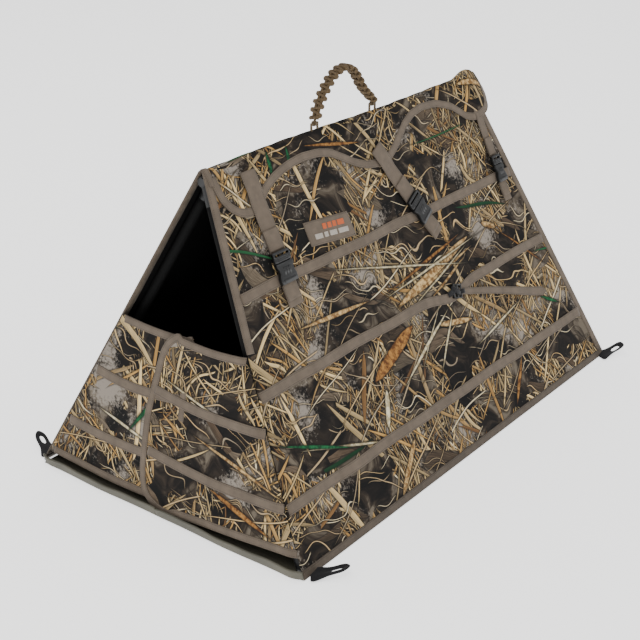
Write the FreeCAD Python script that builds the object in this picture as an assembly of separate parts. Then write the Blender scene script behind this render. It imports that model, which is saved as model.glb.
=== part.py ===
import FreeCAD, Part
import math
import os

# A tent-shaped field blind that hides a retriever beside its handler.
# +X runs along the ridge from the open front to the closed rear, -Y is the near side, +Z is up.
# The origin is on the ground at the middle of the base. All sizes are in millimetres.

Vector = FreeCAD.Vector

# Overall shape
base_length = 1070.0
base_width = 630.0
ridge_height = 612.0
end_lean = 125.0

# Frame
tube_radius = 8.0
tube_wall = 1.2
tube_depth = 12.0
near_inset = 14.0
far_inset = 38.0
fitting_radius = 9.6
socket_bore = 8.02
hinge_bore = 8.08
elbow_leg = 30.0
elbow_gap = 10.0
eye_width = 18.0
eye_socket_start = 20.0
eye_socket_end = 45.0
ridge_tube_length = 818.0
plug_flange = 2.5
plug_spigot = 10.0

# Fabric
skin = 2.0
skin_bottom = 27.0
skin_top = 678.0
hem_thickness = 1.5
hem_top = 26.0
trim_low = 0.1
trim_high = 1.3
binding_width = 18.0
pocket_inner = 8.2
pocket_outer = 9.7
base_sleeve_outer = 12.0
stubble_width = 20.0
stubble_rows = (115.0, 300.0, 461.0)
cap_low = 1.6
cap_high = 3.0
cap_top = 612.5
floor_thickness = 1.5
floor_half_width = 288.0
floor_lap = 10.0
floor_half_length = 527.0
front_roll_radius = 4.5
front_roll_half = 270.0
lap_gap = 0.5
beyond = 700.0
wall_gap = 0.7
wall_bottom = 20.0
wall_top = 616.0

# Doors, as heights above the front plane
door_top = 335.0
door_edge_gap = 3.0
far_door_low = 1.0
near_door_low = 4.6
door_thickness = 1.6
far_door_rows = (105.0, 218.0)
near_door_rows = (108.0, 220.0)
door_strap_width = 18.0
door_strap_inset = 22.0
near_strap_end = -40.0
far_strap_end = -70.0

# Carry handle
handle_pivot_height = 619.5
handle_front_foot = -107.0
handle_rear_foot = 73.0
handle_width = 28.0
handle_thickness = 13.0
handle_line = ((-103.0, 631.0), (-76.0, 678.0), (-19.0, 709.0), (34.0, 665.0), (68.0, 631.0))
anchor_radius = 2.25
anchor_clearance = 0.6
anchor_half_span = 9.0
eye_bore = 2.33
eye_outer = 5.2
eye_length = 5.0
stem_bite = 1.5
anchor_bite = 0.4

# Buckled webbing: name, top point on the panel, tilt, strap length, strap width
straps = (
    ("front", -318.0, 655.0, 0.0, 145.0, 38.0),
    ("middle", 33.0, 612.0, 25.0, 124.0, 38.0),
    ("rear", 394.0, 631.0, 0.0, 125.0, 25.0),
)
strap_low = 3.3
strap_thickness = 1.6
lower_strap = 42.0
strap_gap = 0.4
buckle_side = 3.0
buckle_high = 12.3
cavity_heights = (5.3, 10.3)
head_heights = (4.3, 11.3)
prong_heights = (5.8, 9.8)
plug_head = 20.0
plug_gap = 0.6
plug_side_gap = 0.5
bar_slot = (3.5, 6.5)
socket_length = 37.0
socket_wall = 3.0
socket_gap = 0.3
prong_length = 26.0
prong_width = 5.0
guide_half = 2.0

# Tensioner on the side panel
tail_start = Vector(118.0, 290.0, 0.0)
tail_run = (16.0, 300.0)
tail_angle = -18.0
tail_width = 20.0
tail_heights = (1.6, 3.0)
slider_run = (-18.0, 14.0)
slider_half = 15.0
slider_high = 6.6
slider_slot = 3.0
slider_slots = (-12.0, 3.0)
slider_slot_half = 11.0

# Stake loops: name, along X, along Y, heading
stake_loops = (
    ("near_front", -1, -1, -53.0),
    ("far_front", -1, 1, 70.0),
    ("near_rear", 1, -1, -26.0),
    ("far_rear", 1, 1, 26.0),
)
stake_root_x = 514.0
stake_root_y = 317.0
stake_tilt = 15.0
stake_thickness = 2.5
stake_lift = 1.0
stake_clear_y = 315.6
stake_tab_half = 20.0
stake_tab_length = 24.0
stake_half = 12.0
stake_reach = 50.0
stake_eye_half = 6.5
stake_eye_start = 28.0

# Worked-out geometry
half_width = base_width / 2
half_length = base_length / 2
slope_length = math.hypot(half_width, ridge_height)
slope_angle = math.degrees(math.atan2(ridge_height, half_width))
slope_cos = half_width / slope_length
slope_sin = ridge_height / slope_length
front_length = math.hypot(end_lean, ridge_height)
front_cos = end_lean / front_length
front_sin = ridge_height / front_length
base_tube_s = (base_sleeve_outer + tube_depth * slope_cos) / slope_sin
ridge_s = (half_width - tube_depth * slope_sin) / slope_cos
ridge_z = ridge_s * slope_sin - tube_depth * slope_cos


def edge_x(s):
    """Distance from the middle of the panel to its leaning end at slope position s."""
    return half_length - end_lean * s / slope_length


def on_near_panel(shape):
    """Move a shape drawn in (x, slope position, height) onto the near side panel."""
    placed = shape.copy()
    placed.rotate(Vector(0, 0, 0), Vector(1, 0, 0), slope_angle)
    placed.translate(Vector(0, -half_width, 0))
    return placed


def on_front_plane(shape):
    """Move a shape drawn in (-y, slope position, height) onto the leaning front plane."""
    across = Vector(0, -1, 0)
    up = Vector(front_cos, 0, front_sin)
    out = Vector(-front_sin, 0, front_cos)
    placed = shape.copy()
    placed.Placement = FreeCAD.Placement(
        Vector(-half_length, 0, 0), FreeCAD.Rotation(across, up, out, "XYZ"))
    return placed


def to_far(shape):
    """Mirror a near-side shape to the far side."""
    return shape.mirror(Vector(0, 0, 0), Vector(0, 1, 0))


def to_rear(shape):
    """Mirror a front shape to the rear."""
    return shape.mirror(Vector(0, 0, 0), Vector(1, 0, 0))


def save(name, *shapes):
    """Write the solids of one sub-part to its own STEP file."""
    solids = [solid for shape in shapes for solid in shape.Solids]
    body = solids[0] if len(solids) == 1 else Part.makeCompound(solids)
    body.exportStep("parts/" + name + ".step")
    print(name, len(solids), round(sum(solid.Volume for solid in solids)))


def plate(points, low, high):
    """A flat plate with a straight-sided outline."""
    corners = [Vector(x, y, low) for x, y in points]
    outline = Part.makePolygon(corners + corners[:1])
    return Part.Face(outline).extrude(Vector(0, 0, high - low))


def curved_plate(edges, low, high):
    """A flat plate whose outline is a chain of line, arc and spline edges."""
    outline = Part.Wire([edge.toShape() for edge in edges])
    flat = Part.Face(outline)
    flat.translate(Vector(0, 0, low))
    return flat.extrude(Vector(0, 0, high - low))


def box(x, y, z):
    """A block between pairs of limits."""
    return Part.makeBox(x[1] - x[0], y[1] - y[0], z[1] - z[0], Vector(x[0], y[0], z[0]))


def rod(start, end, radius):
    """A solid cylinder between two points."""
    return Part.makeCylinder(radius, (end - start).Length, start, end - start)


def tube(start, end, outer, inner):
    """A hollow cylinder between two points."""
    return rod(start, end, outer).cut(rod(start, end, inner))


def line(a, b):
    """A straight outline edge."""
    return Part.LineSegment(Vector(a[0], a[1], 0), Vector(b[0], b[1], 0))


def arc(a, middle, b):
    """A round outline edge through three points."""
    return Part.Arc(Vector(a[0], a[1], 0), Vector(middle[0], middle[1], 0), Vector(b[0], b[1], 0))


def frame_points(inset, end):
    """Corner and ridge points of one upright's centre line, in panel coordinates."""
    corner = Vector(end * (edge_x(base_tube_s) - inset), base_tube_s, -tube_depth)
    top = Vector(end * (edge_x(ridge_s) - inset), ridge_s, -tube_depth)
    return corner, top


def side_tubes(inset):
    """Base tube and the two uprights of one side frame."""
    front, front_top = frame_points(inset, -1)
    rear, rear_top = frame_points(inset, 1)
    gap = Vector(elbow_gap, 0, 0)
    inner = tube_radius - tube_wall
    base = tube(front + gap, rear - gap, tube_radius, inner)
    uprights = []
    for corner, top in ((front, front_top), (rear, rear_top)):
        along = (top - corner).normalize()
        uprights.append(tube(corner + along * elbow_gap, top - along * eye_socket_start,
                             tube_radius, inner))
    return base, uprights[0], uprights[1]


def corner_elbow(inset, end):
    """A moulded corner that takes the base tube in one leg and the upright in the other."""
    corner, top = frame_points(inset, end)
    legs = (Vector(-end, 0, 0), (top - corner).normalize())
    solid = Part.makeSphere(fitting_radius, corner)
    for leg in legs:
        solid = solid.fuse(rod(corner, corner + leg * elbow_leg, fitting_radius))
    for leg in legs:
        solid = solid.cut(rod(corner + leg * elbow_gap, corner + leg * (elbow_leg + 1), socket_bore))
    return solid.removeSplitter()


def ridge_fitting(inset, end, bore):
    """A ring round the ridge tube with a socket for the top of an upright."""
    corner, top = frame_points(inset, end)
    along = (corner - top).normalize()
    half = Vector(eye_width / 2, 0, 0)
    solid = rod(top - half, top + half, fitting_radius)
    solid = solid.fuse(rod(top, top + along * eye_socket_end, fitting_radius))
    solid = solid.cut(rod(top + along * eye_socket_start, top + along * (eye_socket_end + 1),
                          socket_bore))
    solid = solid.cut(rod(top - half * 3, top + half * 3, bore))
    return solid.removeSplitter()


def edge_sleeve(inset, end):
    """Sewn pocket round an upright and the bound edge of the panel outside it."""
    corner, top = frame_points(inset, end)
    along = (top - corner).normalize()
    pocket = tube(corner + along * (elbow_leg + 1), top - along * (eye_socket_end + 1),
                  pocket_outer, pocket_inner)
    low, high = skin_bottom, skin_top
    strip = plate(((end * edge_x(low), low), (end * edge_x(high), high),
                   (end * (edge_x(high) - binding_width), high),
                   (end * (edge_x(low) - binding_width), low)), trim_low, trim_high)
    return pocket, strip


def side_panel():
    """The camouflage skin of one side."""
    low, high = skin_bottom, skin_top
    return plate(((-edge_x(low), low), (edge_x(low), low), (edge_x(high), high),
                  (-edge_x(high), high)), -skin, 0)


def base_sleeve(inset):
    """Hem at the foot of a side panel with the pocket that holds the base tube."""
    front, top = frame_points(inset, -1)
    rear = Vector(-front.x, front.y, front.z)
    clear = Vector(elbow_leg + 1.4, 0, 0)
    pocket = rod(front + clear, rear - clear, base_sleeve_outer)
    low = hem_thickness * slope_cos / slope_sin
    reach = half_length - 1.5
    drop = end_lean * (hem_top - low) / slope_length
    hem = plate(((-reach, low), (reach, low), (reach - drop, hem_top), (-reach + drop, hem_top)),
                -hem_thickness, 0)
    return pocket.fuse(hem).cut(rod(front, rear, pocket_inner)).removeSplitter()


def stubble_straps():
    """Rows of flat webbing that hold cut stubble against the panel."""
    rows = []
    for s in stubble_rows:
        reach = edge_x(s) - binding_width - 2
        rows.append(plate(((-reach, s - stubble_width / 2), (reach, s - stubble_width / 2),
                           (reach, s + stubble_width / 2), (-reach, s + stubble_width / 2)),
                          trim_low, trim_high))
    return rows


def ridge_cap():
    """Near half of the weather cap: scalloped below, rounded at both ends."""
    top = beyond
    edges = (
        line((-406, top), (-404, 660)),
        arc((-404, 660), (-391, 603), (-345, 583)),
        line((-345, 583), (-318, 583)),
        arc((-318, 583), (-165, 640), (20, 578)),
        line((20, 578), (55, 578)),
        arc((55, 578), (217, 652), (372, 590)),
        arc((372, 590), (432, 598), (447, 657)),
        line((447, 657), (436, top)),
        line((436, top), (-406, top)),
    )
    cap = on_near_panel(curved_plate(edges, cap_low, cap_high))
    cap = cap.cut(box((-beyond, beyond), (-lap_gap, beyond), (0, beyond)))
    cap = cap.cut(box((-beyond, beyond), (-beyond, beyond), (cap_top, beyond)))
    for foot in (handle_front_foot, handle_rear_foot):
        for step in (-anchor_half_span, anchor_half_span):
            leg = Vector(foot + step, 0, ridge_z)
            cap = cap.cut(rod(leg, leg + Vector(0, 0, cap_top), anchor_radius + anchor_clearance))
    return cap


def rear_wall():
    """Near half of the closed rear wall, drawn on the front plane and mirrored."""
    inside = skin / slope_sin + wall_gap

    def limit(q):
        return half_width * (1 - q / front_length) - inside

    half = plate(((lap_gap, wall_bottom), (limit(wall_bottom), wall_bottom),
                  (limit(wall_top), wall_top), (lap_gap, wall_top)), -skin, 0)
    return to_rear(on_front_plane(half))


def floor(low_y, high_y, roll_low, roll_high):
    """One half of the floor sheet, with the rolled hem across the front opening."""
    sheet = box((-floor_half_length, floor_half_length), (low_y, high_y), (0, floor_thickness))
    roll_x = -floor_half_length + front_roll_radius
    roll = rod(Vector(roll_x, roll_low, front_roll_radius), Vector(roll_x, roll_high, front_roll_radius),
               front_roll_radius)
    return sheet.fuse(roll)


def stake_loop(side_x, side_y, heading):
    """A webbing tab that narrows to a loop for a ground stake, tipped up at its end."""
    tab = plate(((0, -stake_tab_half), (stake_tab_length, -stake_half),
                 (stake_tab_length, stake_half), (0, stake_tab_half)), 0, stake_thickness)
    ring = box((stake_tab_length - 2, stake_reach), (-stake_half, stake_half), (0, stake_thickness))
    ring = ring.fuse(Part.makeCylinder(stake_half, stake_thickness, Vector(stake_reach, 0, 0)))
    slot = box((stake_eye_start, stake_reach), (-stake_eye_half, stake_eye_half),
               (-1, stake_thickness + 1))
    slot = slot.fuse(Part.makeCylinder(stake_eye_half, stake_thickness + 2,
                                       Vector(stake_reach, 0, -1)))
    loop = tab.fuse(ring).cut(slot).removeSplitter()
    loop.rotate(Vector(0, 0, 0), Vector(0, 1, 0), -stake_tilt)
    loop.translate(Vector(0, 0, stake_lift))
    loop.rotate(Vector(0, 0, 0), Vector(0, 0, 1), heading)
    loop.translate(Vector(side_x * stake_root_x, side_y * stake_root_y, 0))
    return loop.cut(box((-beyond, beyond), (-stake_clear_y, stake_clear_y), (-beyond, beyond)))


def near_door():
    """The front flap that laps over the other, with a curved free edge."""
    def hinge(q):
        return half_width * (1 - q / front_length) - door_edge_gap

    lap = Part.BSplineCurve()
    lap.interpolate([Vector(11, 12, 0), Vector(-37, 22, 0), Vector(-58, 49, 0), Vector(-62, 104, 0),
                     Vector(-62, 179, 0), Vector(-53, 238, 0), Vector(-40, 300, 0),
                     Vector(-8, door_top, 0)])
    edges = (lap, line((-8, door_top), (hinge(door_top), door_top)),
             line((hinge(door_top), door_top), (hinge(36), 36)), line((hinge(36), 36), (11, 12)))
    flap = curved_plate(edges, near_door_low, near_door_low + door_thickness)
    return on_front_plane(flap)


def far_door():
    """The front flap that hangs behind the lap."""
    def hinge(q):
        return -half_width * (1 - q / front_length) + door_edge_gap

    outline = ((25, 26), (25, door_top - 2), (hinge(door_top), door_top), (hinge(28), 28),
               (-130, 17), (-40, 25))
    return on_front_plane(plate(outline, far_door_low, far_door_low + door_thickness))


def door_straps(rows, low, side, free_end):
    """Two rows of flat webbing across a door, from its hinge seam to the free end."""
    found = []
    for q in rows:
        seam_end = side * (half_width * (1 - q / front_length) - door_strap_inset)
        run = sorted((seam_end, free_end))
        strap = box(run, (q - door_strap_width / 2, q + door_strap_width / 2),
                    (low, low + trim_high - trim_low))
        found.append(on_front_plane(strap))
    return found


def handle_weave():
    """The braided grip, a thick band bent into an arch."""
    centre = Part.BSplineCurve()
    centre.interpolate([Vector(x, 0, z) for x, z in handle_line])
    rails = []
    for sign in (1, -1):
        rail = []
        for x, z in handle_line:
            along = Vector(*centre.tangent(centre.parameter(Vector(x, 0, z)))[0])
            across = Vector(-along.z, 0, along.x).normalize()
            rail.append(Vector(x, 0, z) + across * sign * handle_thickness / 2)
        rails.append(rail)
    curves = []
    for rail in rails:
        curve = Part.BSplineCurve()
        curve.interpolate(rail)
        curves.append(curve.toShape())
    ends = [Part.LineSegment(rails[0][i], rails[1][i]).toShape() for i in (0, -1)]
    face = Part.Face(Part.Wire(Part.sortEdges(curves + ends)[0]))
    face.translate(Vector(0, -handle_width / 2, 0))
    return face.extrude(Vector(0, handle_width, 0))


def handle_end_loop(foot, top):
    """Cord eye at one end of the grip that turns on its anchor."""
    half = Vector(eye_length / 2, 0, 0)
    pivot = Vector(foot, 0, handle_pivot_height)
    eye = rod(pivot - half, pivot + half, eye_outer)
    stem = rod(pivot, Vector(top[0], 0, top[1] + stem_bite), eye_length / 2)
    bore = rod(pivot - half * 3, pivot + half * 3, eye_bore)
    return eye.fuse(stem).cut(bore).removeSplitter()


def handle_anchor(foot):
    """Cord staple that rises from the ridge tube through the cap."""
    span = Vector(anchor_half_span, 0, 0)
    pivot = Vector(foot, 0, handle_pivot_height)
    staple = rod(pivot - span, pivot + span, anchor_radius)
    for side in (-1, 1):
        corner = pivot + span * side
        staple = staple.fuse(Part.makeSphere(anchor_radius, corner))
        foot_point = Vector(corner.x, 0, ridge_z + tube_radius - anchor_bite)
        staple = staple.fuse(rod(foot_point, corner, anchor_radius))
    return staple


def on_strap(shape, top_x, top_s, tilt):
    """Move a shape drawn in (across, up, height) from a strap's top end onto the near panel."""
    placed = shape.copy()
    placed.rotate(Vector(0, 0, 0), Vector(0, 0, 1), tilt)
    placed.translate(Vector(top_x, top_s, 0))
    return on_near_panel(placed)


def buckle_plug(length, width):
    """Male half of a side-release buckle: strap bar, two prongs and a middle guide."""
    half = width / 2 + buckle_side - plug_side_gap
    top = -length - strap_gap
    plug = box((-half, half), (top - plug_head, top), head_heights)
    slot_half = width / 2 - 1
    plug = plug.cut(box((-slot_half, slot_half), (top - bar_slot[1], top - bar_slot[0]),
                        (0, buckle_high)))
    prong = half - socket_wall - plug_side_gap
    run = (top - plug_head - prong_length, top - plug_head + 1)
    for across in ((-prong, prong_width - prong), (-guide_half, guide_half),
                   (prong - prong_width, prong)):
        plug = plug.fuse(box(across, run, prong_heights))
    return plug.removeSplitter()


def buckle_socket(length, width):
    """Female half of a side-release buckle: a shell that is open towards the plug."""
    half = width / 2 + buckle_side
    top = -length - strap_gap - plug_head - plug_gap
    shell = box((-half, half), (top - socket_length, top), (strap_low, buckle_high))
    hollow = box((socket_wall - half, half - socket_wall), (top - prong_length - 2, top + 1),
                 cavity_heights)
    return shell.cut(hollow)


def strap_cloth(top, bottom, width):
    """A flat run of webbing."""
    return box((-width / 2, width / 2), (bottom, top), (strap_low, strap_low + strap_thickness))


def tensioner():
    """Webbing tail that lies across the panel, and the slider at its start."""
    tail = box(tail_run, (-tail_width / 2, tail_width / 2), tail_heights)
    slider = box(slider_run, (-slider_half, slider_half), (tail_heights[0], slider_high))
    for low in slider_slots:
        slider = slider.cut(box((low, low + slider_slot), (-slider_slot_half, slider_slot_half),
                                (0, buckle_high)))
    placed = []
    for shape in (tail, slider):
        shape.rotate(Vector(0, 0, 0), Vector(0, 0, 1), tail_angle)
        shape.translate(tail_start)
        placed.append(on_near_panel(shape))
    return placed


os.makedirs("parts", exist_ok=True)

# Side frames, panels and hems
for side, inset, bore in (("near", near_inset, hinge_bore), ("far", far_inset, socket_bore)):
    def place(shape):
        """Put a panel-drawn shape on this side."""
        found = on_near_panel(shape)
        return found if side == "near" else to_far(found)

    base, front_upright, rear_upright = side_tubes(inset)
    ring = "hinge_eye" if side == "near" else "ridge_clamp"
    save(side + "_base_tube", place(base))
    save(side + "_front_upright", place(front_upright))
    save(side + "_rear_upright", place(rear_upright))
    for end_name, end in (("front", -1), ("rear", 1)):
        save(side + "_" + end_name + "_elbow", place(corner_elbow(inset, end)))
        save(side + "_" + end_name + "_" + ring, place(ridge_fitting(inset, end, bore)))
        save(side + "_" + end_name + "_edge_sleeve", *[place(s) for s in edge_sleeve(inset, end)])
    save(side + "_panel", place(side_panel()))
    save(side + "_base_sleeve", place(base_sleeve(inset)))
    save(side + "_stubble_straps", *[place(row) for row in stubble_straps()])

# Ridge
ridge_half = Vector(ridge_tube_length / 2, 0, 0)
ridge_middle = Vector(0, 0, ridge_z)
save("ridge_tube", tube(ridge_middle - ridge_half, ridge_middle + ridge_half, tube_radius,
                        tube_radius - tube_wall))
plugs = []
for end in (-1, 1):
    face = ridge_middle + ridge_half * end
    out = Vector(end, 0, 0)
    flange = rod(face, face + out * plug_flange, tube_radius)
    plugs.append(flange.fuse(rod(face - out * plug_spigot, face, tube_radius - tube_wall - 0.02)))
save("ridge_plugs", *plugs)
near_cap = ridge_cap()
save("near_ridge_cap", near_cap)
save("far_ridge_cap", to_far(near_cap))

# Rear wall and floor
near_wall = rear_wall()
save("near_rear_wall", near_wall)
save("far_rear_wall", to_far(near_wall))
save("far_floor", floor(-floor_lap, floor_half_width, -floor_lap, front_roll_half))
save("near_floor", floor(-floor_half_width, -floor_lap - lap_gap, -front_roll_half,
                         -floor_lap - lap_gap))

# Stake loops
for name, side_x, side_y, heading in stake_loops:
    save(name + "_stake_loop", stake_loop(side_x, side_y, heading))

# Doors
save("near_door", near_door())
save("far_door", far_door())
near_strap_low = near_door_low + door_thickness + trim_low
far_strap_low = far_door_low + door_thickness + trim_low
save("near_door_straps", *door_straps(near_door_rows, near_strap_low, 1, near_strap_end))
save("far_door_straps", *door_straps(far_door_rows, far_strap_low, -1, far_strap_end))

# Carry handle
save("handle_weave", handle_weave())
save("handle_end_loops", handle_end_loop(handle_front_foot, handle_line[0]),
     handle_end_loop(handle_rear_foot, handle_line[-1]))
save("handle_anchors", handle_anchor(handle_front_foot), handle_anchor(handle_rear_foot))

# Buckled straps
for name, top_x, top_s, tilt, length, width in straps:
    lower_top = -length - strap_gap - plug_head - plug_gap - socket_length - socket_gap
    save(name + "_upper_strap", on_strap(strap_cloth(0, -length, width), top_x, top_s, tilt))
    save(name + "_lower_strap", on_strap(strap_cloth(lower_top, lower_top - lower_strap, width),
                                         top_x, top_s, tilt))
    save(name + "_buckle_plug", on_strap(buckle_plug(length, width), top_x, top_s, tilt))
    save(name + "_buckle_socket", on_strap(buckle_socket(length, width), top_x, top_s, tilt))

# Name patch and tensioner
patch = plate(((-227, 491), (-103, 474), (-104, 524), (-227, 535)), trim_low, trim_high)
save("name_patch", on_near_panel(patch))
tail, slider = tensioner()
save("tail_webbing", tail)
save("tail_slider", slider)
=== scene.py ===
import math

import bpy
import numpy as np
from mathutils import Matrix, Vector


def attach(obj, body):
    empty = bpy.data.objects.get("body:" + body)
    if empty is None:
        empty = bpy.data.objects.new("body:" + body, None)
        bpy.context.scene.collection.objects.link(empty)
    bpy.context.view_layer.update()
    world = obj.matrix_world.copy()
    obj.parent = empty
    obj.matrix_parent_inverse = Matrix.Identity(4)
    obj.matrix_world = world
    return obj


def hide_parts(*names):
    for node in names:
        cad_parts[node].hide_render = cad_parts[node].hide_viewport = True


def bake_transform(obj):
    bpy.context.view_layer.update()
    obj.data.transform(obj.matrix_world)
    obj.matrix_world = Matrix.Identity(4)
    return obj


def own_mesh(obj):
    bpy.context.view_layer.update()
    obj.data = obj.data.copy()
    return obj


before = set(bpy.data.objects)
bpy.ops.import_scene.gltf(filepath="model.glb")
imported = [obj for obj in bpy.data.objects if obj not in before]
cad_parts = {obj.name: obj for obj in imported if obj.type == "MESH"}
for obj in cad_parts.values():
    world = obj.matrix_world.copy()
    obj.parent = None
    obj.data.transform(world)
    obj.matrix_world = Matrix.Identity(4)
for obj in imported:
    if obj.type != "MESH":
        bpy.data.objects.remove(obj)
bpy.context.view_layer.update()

# A tent-shaped field blind for a retriever: camouflage cloth on a folding tube frame.
# +X runs along the ridge from the open front, -Y is the buckled near side. Sizes are in metres.

# ---- Camera -------------------------------------------------------------------------------
# A long lens from the front near corner, a little above the handle.
camera_right = Vector((0.59964, -0.80022, 0.00913))
camera_up = Vector((0.29342, 0.23046, 0.92779))
camera_back = Vector((-0.74454, -0.55366, 0.37300))
camera_place = Vector((-1.93737, -1.44069, 1.29158))
lens = bpy.data.cameras.new("camera")
lens.lens = 74.32
lens.sensor_width = 36.0
lens.shift_x = -0.0437
lens.shift_y = -0.0971
camera = bpy.data.objects.new("camera", lens)
turn = Matrix((camera_right, camera_up, camera_back)).transposed().to_4x4()
camera.matrix_world = Matrix.Translation(camera_place) @ turn
bpy.context.scene.collection.objects.link(camera)
bpy.context.scene.camera = camera

# ---- Studio -------------------------------------------------------------------------------
# A pale paper sweep under two large soft lights and an even white sky.


def linear(code):
    """Linear red, green, blue and alpha of an sRGB hex colour."""
    parts = [int(code[i:i + 2], 16) / 255 for i in (1, 3, 5)]
    return tuple(p / 12.92 if p <= 0.04045 else ((p + 0.055) / 1.055) ** 2.4 for p in parts) + (1.0,)


def feed(tree, made, inputs):
    """Fill a node's inputs: each takes a value, a socket, or the first output of a node."""
    for name, value in inputs.items():
        if isinstance(value, bpy.types.Node):
            value = value.outputs[0]
        if isinstance(value, bpy.types.NodeSocket):
            tree.links.new(value, made.inputs[name])
        else:
            made.inputs[name].default_value = value


def node(tree, kind, inputs, **settings):
    """Add one shader node with its settings and inputs."""
    made = tree.nodes.new("ShaderNode" + kind)
    for name, value in settings.items():
        setattr(made, name, value)
    feed(tree, made, inputs)
    return made


def finish_named(name):
    """An empty material: its node tree, its main shader and the material itself."""
    made = bpy.data.materials.new(name)
    made.use_nodes = True
    return made.node_tree, made.node_tree.nodes["Principled BSDF"], made


def surface(name, *parts):
    """One mesh from grids of points, rows by columns. Each part is (points, cloth coordinates,
    wrap, ends): wrap joins the last column to the first, ends closes the first and last rows.
    A closed mesh that comes out inside out is turned over."""
    faces, places, cloth, count = [], [], [], 0
    for points, uv, wrap, ends in parts:
        index = count + np.arange(points.shape[0] * points.shape[1]).reshape(points.shape[:2])
        left, right = (index, np.roll(index, -1, axis=1)) if wrap else (index[:, :-1], index[:, 1:])
        found = np.stack((left[:-1], right[:-1], right[1:], left[1:]), -1).reshape(-1, 4).tolist()
        if ends:
            found += [index[0, ::-1].tolist(), index[-1].tolist()]
        flat = points.reshape(-1, 3)
        middle = flat.mean(axis=0)
        a, b, c = (flat[np.array([face[i] for face in found]) - count] - middle for i in range(3))
        d = flat[np.array([face[-1] for face in found]) - count] - middle
        volume = (a * np.cross(b, c)).sum() + (a * np.cross(c, d)).sum()
        if wrap and volume < 0:
            found = [face[::-1] for face in found]
        faces += found
        places.append(flat)
        cloth.append(uv.reshape(-1, 2))
        count += len(flat)
    return from_faces(name, np.concatenate(places), faces, np.concatenate(cloth))


def from_faces(name, points, faces, uv):
    """A smooth mesh object with its cloth coordinates, one pair for each point, in metres."""
    mesh = bpy.data.meshes.new(name)
    mesh.from_pydata(points.tolist(), [], faces)
    corner = np.zeros(len(mesh.loops), np.int32)
    mesh.loops.foreach_get("vertex_index", corner)
    mesh.uv_layers.new(name="cloth").data.foreach_set("uv", uv[corner].astype(np.float32).ravel())
    mesh.polygons.foreach_set("use_smooth", np.ones(len(faces), bool))
    mesh.update()
    made = bpy.data.objects.new(name, mesh)
    bpy.context.scene.collection.objects.link(made)
    return made


tree, shader, paper = finish_named("pale_paper")
feed(tree, shader, {"Base Color": linear("#f7f7f6"), "Emission Color": linear("#ffffff"),
                    "Emission Strength": 1.2, "Roughness": 0.9, "Specular IOR Level": 0.1})
sweep_x, sweep_y = np.meshgrid(np.linspace(-12, 12, 2), np.linspace(-12, 12, 2))
sweep_points = np.stack((sweep_x, sweep_y, np.zeros_like(sweep_x)), -1)
sweep = surface("paper_sweep", (sweep_points, sweep_points[..., :2], False, False))
sweep.data.materials.append(paper)

sky = bpy.data.worlds.new("studio")
sky.use_nodes = True
sky.node_tree.nodes["Background"].inputs["Color"].default_value = linear("#ffffff")
sky.node_tree.nodes["Background"].inputs["Strength"].default_value = 0.8
bpy.context.scene.world = sky
for place, size, power in (((-2.0, -1.2, 3.0), 1.6, 34.0), ((1.8, -2.4, 3.2), 1.8, 18.0),
                           ((0.4, 2.2, 3.2), 1.8, 20.0)):
    softbox = bpy.data.lights.new("softbox", "AREA")
    softbox.energy = power
    softbox.size = size
    lamp = bpy.data.objects.new("softbox", softbox)
    lamp.location = place
    lamp.rotation_euler = (Vector((0, 0, 0.3)) - Vector(place)).to_track_quat("-Z", "Y").to_euler()
    bpy.context.scene.collection.objects.link(lamp)

# ---- Camouflage cloth ---------------------------------------------------------------------
# 600-denier polyester, printed with dry marsh reeds over dark mud; its inside is painted near black, as
# painted shade for the inside of the blind.
# It gives the eye layered stalks with soft shadows under them and almost no shine.


def work_out(tree, term):
    """The socket that holds a sum. A term is a number, a socket, or (operation, terms) in turn."""
    if not isinstance(term, tuple):
        return term
    inputs = {i: work_out(tree, part) for i, part in enumerate(term[1:])}
    return node(tree, "Math", inputs, operation=term[0]).outputs[0]


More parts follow.
